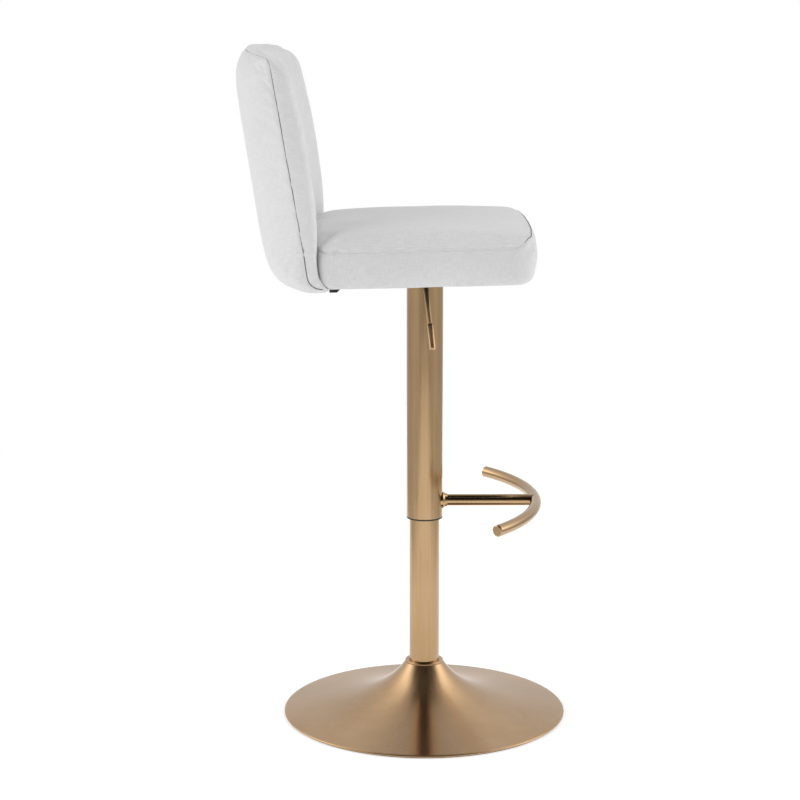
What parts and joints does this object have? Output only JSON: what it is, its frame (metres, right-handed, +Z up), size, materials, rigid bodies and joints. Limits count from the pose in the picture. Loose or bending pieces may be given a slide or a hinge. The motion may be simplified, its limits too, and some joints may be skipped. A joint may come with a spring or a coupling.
{
  "type": "bar stool",
  "caption": "Swivel bar stool with a padded seat and low curved back, gas lift with side lever, C-shaped footrest and weighted trumpet base.",
  "frame": {"origin": "on the floor, on the column's axis, at the centre of the base's floor ring", "axes": "+X is the way the sitter faces, +Y is the sitter's left, +Z is up"},
  "size_m": [0.5407, 0.475, 1.126],
  "materials": {
    "base_gold": "satin gold plated",
    "tube_gold": "brushed gold plated",
    "rail_gold": "satin gold plated",
    "lever_gold": "polished gold plated",
    "cast_weight": "rough, painted",
    "floor_rubber": "matte",
    "plain_steel": "zinc plated",
    "black_plastic": "moulded, satin",
    "black_steel": "satin black powder coat",
    "valve_red": "moulded",
    "plywood": "bare plywood",
    "cushion_foam": "open-cell foam",
    "linen_fabric": "plain weave, off-white",
    "dust_cloth": "non-woven, black"
  },
  "bodies": {
    "base": {"base_shell": "base_gold", "base_weight": "cast_weight", "floor_ring": "floor_rubber", "tube_flange": "plain_steel", "flange_bolts": "plain_steel", "stand_tube": "tube_gold", "tube_end_plate": "plain_steel", "neck_ring": "base_gold", "guide_bush": "black_plastic", "lower_race": "plain_steel"},
    "spindle": {"piston_rod": "plain_steel", "piston": "black_plastic", "upper_race": "plain_steel", "ball_cage": "black_plastic", "bearing_balls": "plain_steel", "rod_clip": "plain_steel", "bump_stop": "floor_rubber"},
    "carriage": {"gas_cylinder": "black_steel", "cylinder_gland": "plain_steel", "valve_body": "plain_steel", "cover_tube": "tube_gold", "slide_bush": "black_plastic", "foot_collar": "tube_gold", "foot_bar": "tube_gold", "foot_rail": "rail_gold", "rail_end_caps": "rail_gold", "column_hub": "black_steel", "seat_plate": "black_steel", "lever_pin": "plain_steel", "seat_bolts": "plain_steel", "tee_nuts": "plain_steel", "seat_board": "plywood", "seat_foam": "cushion_foam", "seat_cover": "linen_fabric", "seat_piping": "linen_fabric", "dust_cover": "dust_cloth", "back_brackets": "black_steel", "bracket_bolts": "plain_steel", "bracket_nuts": "plain_steel", "bracket_screws": "plain_steel", "back_board": "plywood", "back_foam": "cushion_foam", "back_cover": "linen_fabric", "back_rear_panel": "linen_fabric", "back_piping": "linen_fabric"},
    "release_lever": {"release_lever": "lever_gold", "lever_sleeve": "lever_gold"},
    "valve_pin": {"valve_pin": "valve_red"}
  },
  "joints": [
    {"name": "seat_swivel", "type": "hinge", "parent": "base", "child": "spindle", "pos_m": [0, 0, 0.03], "axis": [0, 0, 1], "continuous": true},
    {"name": "height_slide", "type": "slide", "parent": "spindle", "child": "carriage", "axis": [0, 0, 1], "range_m": [-0.215, 0]},
    {"name": "lever_pivot", "type": "hinge", "parent": "carriage", "child": "release_lever", "pos_m": [0, -0.025, 0.7443], "axis": [-1, 0, 0], "range_deg": [0, 8], "stiffness_Nm_per_rad": 5, "springref_deg": -1.72},
    {"name": "valve_press", "type": "slide", "parent": "carriage", "child": "valve_pin", "axis": [0, 0, -1], "range_m": [0, 0.004]}
  ],
  "couplings": [
    {"joint": "valve_press", "follows": "lever_pivot", "m_per_rad": 0.025}
  ]
}
